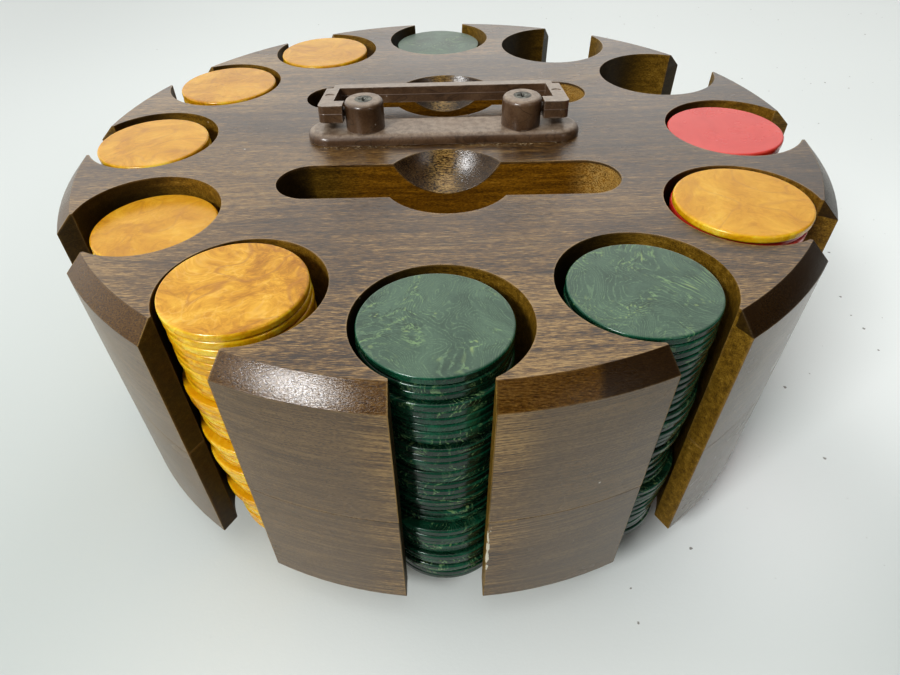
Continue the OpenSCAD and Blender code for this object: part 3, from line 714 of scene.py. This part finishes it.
finishes = {
    "floor_board": board("floor_board", (0.085, 0.052, 0.028), (0.160, 0.100, 0.055), (0.240, 0.160, 0.090), 0.62),
    "foot_wood": board("foot_wood", (0.026, 0.016, 0.010), (0.060, 0.038, 0.023), (0.115, 0.076, 0.044), 0.42),
    "zinc_screw": metal("zinc_screw", (0.62, 0.61, 0.57), (0.36, 0.35, 0.32), 0.28),
    "race_steel": metal("race_steel", (0.60, 0.60, 0.59), (0.38, 0.37, 0.35), 0.30, 90.0),
    "eyelet": metal("eyelet", (0.70, 0.58, 0.32), (0.36, 0.29, 0.16), 0.30),
    "ball_steel": metal("ball_steel", (0.80, 0.80, 0.81), (0.62, 0.61, 0.60), 0.06),
    "cage": nylon(),
    "felt": felt(),
    "handle_screw": metal(
        "handle_screw", (0.25, 0.25, 0.22), (0.11, 0.11, 0.10), 0.42, 520.0, rust=(0.070, 0.055, 0.040)
    ),
}
node_finish = {
    "upper_layer": rack_wood("wood_upper", 3.1, 0.35, -0.25, 0.0),
    "lower_layer": rack_wood("wood_lower", 8.6, -0.30, -0.22, -0.06),
    "handle_plate": handle_plastic("handle_base", 1.3, False),
    "left_post": handle_plastic("handle_post_left", 2.9, False),
    "right_post": handle_plastic("handle_post_right", 4.7, False),
    "handle_bail": handle_plastic("handle_grip", 6.1, True),
}

# the chips of some stacks are thinner than the others, so each stack has its own finish
make_chip = {"chip_green": chip_green, "chip_red": chip_red, "chip_yellow": chip_yellow}
for node_name, slot_name in slot_of.items():
    if slot_name in make_chip:
        low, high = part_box(node_name)
        height = high.z - low.z + CHIP_PLAY
        pitch = height / round(height / STANDARD_PITCH)
        node_finish[node_name] = make_chip[slot_name](f"{slot_name}_{node_name}", pitch, high.z)

# ---- soft edges: [rounding radius in metres, segments] for each material slot ----
rounding = {
    "wood": (0.00032, 2),
    "floor_board": (0.0004, 2),
    "foot_wood": (0.0008, 3),
    "zinc_screw": (0.00012, 1),
    "race_steel": (0.0002, 2),
    "eyelet": (0.0002, 2),
    "ball_steel": None,
    "cage": (0.0001, 1),
    "felt": (0.0005, 2),
    "handle": (0.00045, 3),
    "handle_screw": (0.00012, 1),
    "chip_green": (0.00075, 4),
    "chip_red": (0.00075, 4),
    "chip_yellow": (0.00075, 4),
}


def soften(obj, radius, segments):
    """Joins the split vertices of a CAD mesh, then rounds its sharp edges."""
    weld = obj.modifiers.new("weld", "WELD")
    weld.merge_threshold = 2e-6
    flat = obj.modifiers.new("flat_faces", "DECIMATE")
    flat.decimate_type = "DISSOLVE"
    flat.angle_limit = math.radians(0.4)
    bevel = obj.modifiers.new("rounding", "BEVEL")
    bevel.width = radius
    bevel.segments = segments
    bevel.limit_method = "ANGLE"
    bevel.angle_limit = math.radians(28)
    bevel.use_clamp_overlap = True
    bevel.miter_outer = "MITER_ARC"
    bevel.face_strength_mode = "FSTR_ALL"
    smooth = obj.modifiers.new("normals", "WEIGHTED_NORMAL")
    smooth.mode = "FACE_AREA"
    smooth.weight = 60
    smooth.keep_sharp = False
    smooth.use_face_influence = True


for node_name, obj in nodes.items():
    slot_name = slot_of[node_name]
    obj.data.materials.clear()
    obj.data.materials.append(node_finish.get(node_name) or finishes[slot_name])
    if rounding[slot_name]:
        soften(obj, *rounding[slot_name])


# ---- floor ----
ROOM_SEEN = (0.80, 0.82, 0.81)


def pale_floor():
    """A wide pale table top."""
    half = 6.0
    mesh = bpy.data.meshes.new("floor")
    mesh.from_pydata([(-half, -half, 0), (half, -half, 0), (half, half, 0), (-half, half, 0)], [], [(0, 1, 2, 3)])
    floor = bpy.data.objects.new("floor", mesh)
    scene.collection.objects.link(floor)
    s = Shader("pale_table")
    p = s.place()
    cloud = s.noise(p, 3.0, 3.0, 0.5)
    ragged = s.vector("ADD", p, s.scaled(s.noise_vector(p, 900.0), (0.0016, 0.0016, 0.0)))
    spot, spot_colour = s.cells(ragged, 80.0, "2D")
    chosen = s.math("GREATER_THAN", s.split(spot_colour)[0], s.step(s.split(p)[0], 0.0, 0.10, 0.98, 0.80))
    size = s.math("MULTIPLY", s.math("POWER", s.split(spot_colour)[1], 3.0), 0.045)
    speck = s.step(spot, size, s.math("ADD", size, 0.018), 1.0, 0.0)
    speck = s.math("MULTIPLY", speck, chosen)
    colour = s.mix(cloud, (0.815, 0.862, 0.850), (0.840, 0.885, 0.872))
    near_shade = s.step(s.split(p)[1], -0.25, 0.40, 1.0, 0.0)
    colour = s.mix(near_shade, colour, (0.485, 0.530, 0.515))
    x, y, _ = s.split(p)
    # painted shade: the table is painted darker at the far left
    painted_shade_far_left = s.math("MULTIPLY", s.step(x, -0.45, -0.12, 1.0, 0.0), s.step(y, 0.0, 0.25))
    colour = s.mix(s.math("MULTIPLY", painted_shade_far_left, 0.6), colour, (0.640, 0.680, 0.670))
    # painted light: the table is painted brighter to the right of the rack, where its shadow falls
    painted_light_right = s.math("MULTIPLY", s.step(x, 0.06, 0.20), s.step(y, -0.17, -0.02))
    painted_light_right = s.math("MULTIPLY", painted_light_right, s.step(y, 0.05, 0.30, 0.8, 0.25))
    colour = s.mix(painted_light_right, colour, (0.950, 0.990, 0.980))
    # painted light: brighter in front of the rack, lifting its shadow there
    under = s.vector("LENGTH", s.vector("SUBTRACT", p, (0.02, -0.17, 0.0)))
    colour = s.mix(s.step(under, 0.04, 0.19, 0.9, 0.0), colour, (0.78, 0.82, 0.80))
    # painted light: brighter beside the front right of the rack, lifting its shadow there
    beside = s.vector("LENGTH", s.vector("SUBTRACT", p, (0.100, -0.080, 0.0)))
    colour = s.mix(s.step(beside, 0.0, 0.075, 0.75, 0.0), colour, (0.950, 0.990, 0.980))
    colour = s.mix(s.math("MULTIPLY", speck, 0.8), colour, (0.16, 0.14, 0.12))
    mesh.materials.append(
        s.surface(
            Base_Color=colour, Roughness=0.55, Normal=s.bump(s.noise(p, 800.0, 2.0), 0.0002, 0.15)
        )
    )

    # far from the rack the table fades into the pale room for the viewer
    seen = s.add("ShaderNodeLightPath").outputs["Is Camera Ray"]
    far = s.step(s.vector("LENGTH", p), 0.85, 1.5)
    fade = s.add(
        "ShaderNodeMixShader",
        {
            0: s.math("MULTIPLY", far, seen),
            1: s.out.inputs["Surface"].links[0].from_socket,
            2: s.add("ShaderNodeEmission", {"Color": ROOM_SEEN}).outputs[0],
        },
    )
    s.tree.links.new(fade.outputs[0], s.out.inputs["Surface"])


pale_floor()


# ---- light ----
def soft_box(name, azimuth, elevation, distance, size, power, colour=(1.0, 1.0, 1.0)):
    """A square soft light that faces the rack from a direction given in degrees."""
    a, e = math.radians(azimuth), math.radians(elevation)
    aim = Vector((0.0, -0.05, 0.09))
    away = Vector((math.cos(a) * math.cos(e), math.sin(a) * math.cos(e), math.sin(e)))
    data = bpy.data.lights.new(name, "AREA")
    data.shape = "RECTANGLE"
    data.size, data.size_y = size
    data.energy = power
    data.color = colour
    light = bpy.data.objects.new(name, data)
    light.location = aim + away * distance
    light.rotation_mode = "QUATERNION"
    light.rotation_quaternion = (-away).to_track_quat("-Z", "Y")
    scene.collection.objects.link(light)


soft_box("light_left", -131, 38, 1.5, (0.42, 0.32), 14)
soft_box("light_right", -50, 27, 1.5, (0.34, 0.26), 1.3)
soft_box("light_above", -90, 74, 1.7, (0.9, 0.7), 2.5)


def room():
    """The room as a soft gradient: bright behind, above and to the left of the rack, and dark in
    front of it, where the viewer stands. Looked at directly it is evenly pale."""
    world = bpy.data.worlds.new("room")
    world.use_nodes = True
    tree = world.node_tree
    tree.nodes.clear()
    direction = tree.nodes.new("ShaderNodeTexCoord").outputs["Generated"]
    weigh = tree.nodes.new("ShaderNodeVectorMath")
    weigh.operation = "DOT_PRODUCT"
    weigh.inputs[1].default_value = (-0.40, 0.72, 0.40)
    shade = tree.nodes.new("ShaderNodeValToRGB")
    span = tree.nodes.new("ShaderNodeMapRange")
    span.inputs["From Min"].default_value = -1.0
    span.inputs["From Max"].default_value = 1.0
    glow = tree.nodes.new("ShaderNodeBackground")
    plain = tree.nodes.new("ShaderNodeBackground")
    plain.inputs[0].default_value = (*ROOM_SEEN, 1)
    seen = tree.nodes.new("ShaderNodeLightPath")
    choose = tree.nodes.new("ShaderNodeMixShader")
    output = tree.nodes.new("ShaderNodeOutputWorld")
    tree.links.new(direction, weigh.inputs[0])
    tree.links.new(weigh.outputs["Value"], span.inputs["Value"])
    tree.links.new(span.outputs[0], shade.inputs[0])
    tree.links.new(shade.outputs[0], glow.inputs[0])
    tree.links.new(seen.outputs["Is Camera Ray"], choose.inputs[0])
    tree.links.new(glow.outputs[0], choose.inputs[1])
    tree.links.new(plain.outputs[0], choose.inputs[2])
    tree.links.new(choose.outputs[0], output.inputs[0])
    stops = shade.color_ramp.elements
    stops[0].position, stops[0].color = 0.42, (0.020, 0.020, 0.020, 1)
    stops[1].position, stops[1].color = 0.84, (1.04, 1.03, 1.00, 1)
    middle = stops.new(0.62)
    middle.color = (0.36, 0.36, 0.36, 1)
    scene.world = world


room()

# ---- camera ----
CAMERA_PLACE = Vector((0.00037, -0.21397, 0.20166))
CAMERA_PITCH, CAMERA_YAW, CAMERA_ROLL = math.radians(44.147), math.radians(2.332), math.radians(-2.291)
turn = Matrix.Rotation(CAMERA_YAW, 3, "Z") @ Matrix.Rotation(-CAMERA_PITCH, 3, "X")
right, ahead, up = turn.col[0], turn.col[1], turn.col[2]
tilted_right = right * math.cos(CAMERA_ROLL) + up * math.sin(CAMERA_ROLL)
tilted_up = up * math.cos(CAMERA_ROLL) - right * math.sin(CAMERA_ROLL)
camera_data = bpy.data.cameras.new("camera")
camera_data.sensor_width = 36.0
camera_data.lens = 25.146
camera_data.shift_x = 0.02795
camera_data.shift_y = 0.02657
camera_data.clip_start, camera_data.clip_end = 0.01, 20.0
camera = bpy.data.objects.new("camera", camera_data)
camera.matrix_world = Matrix(
    [
        [tilted_right[i], tilted_up[i], -ahead[i], CAMERA_PLACE[i]]
        for i in range(3)
    ]
    + [[0, 0, 0, 1]]
)
scene.collection.objects.link(camera)
scene.camera = camera
scene.view_settings.view_transform = "Standard"
scene.view_settings.look = "Medium High Contrast"
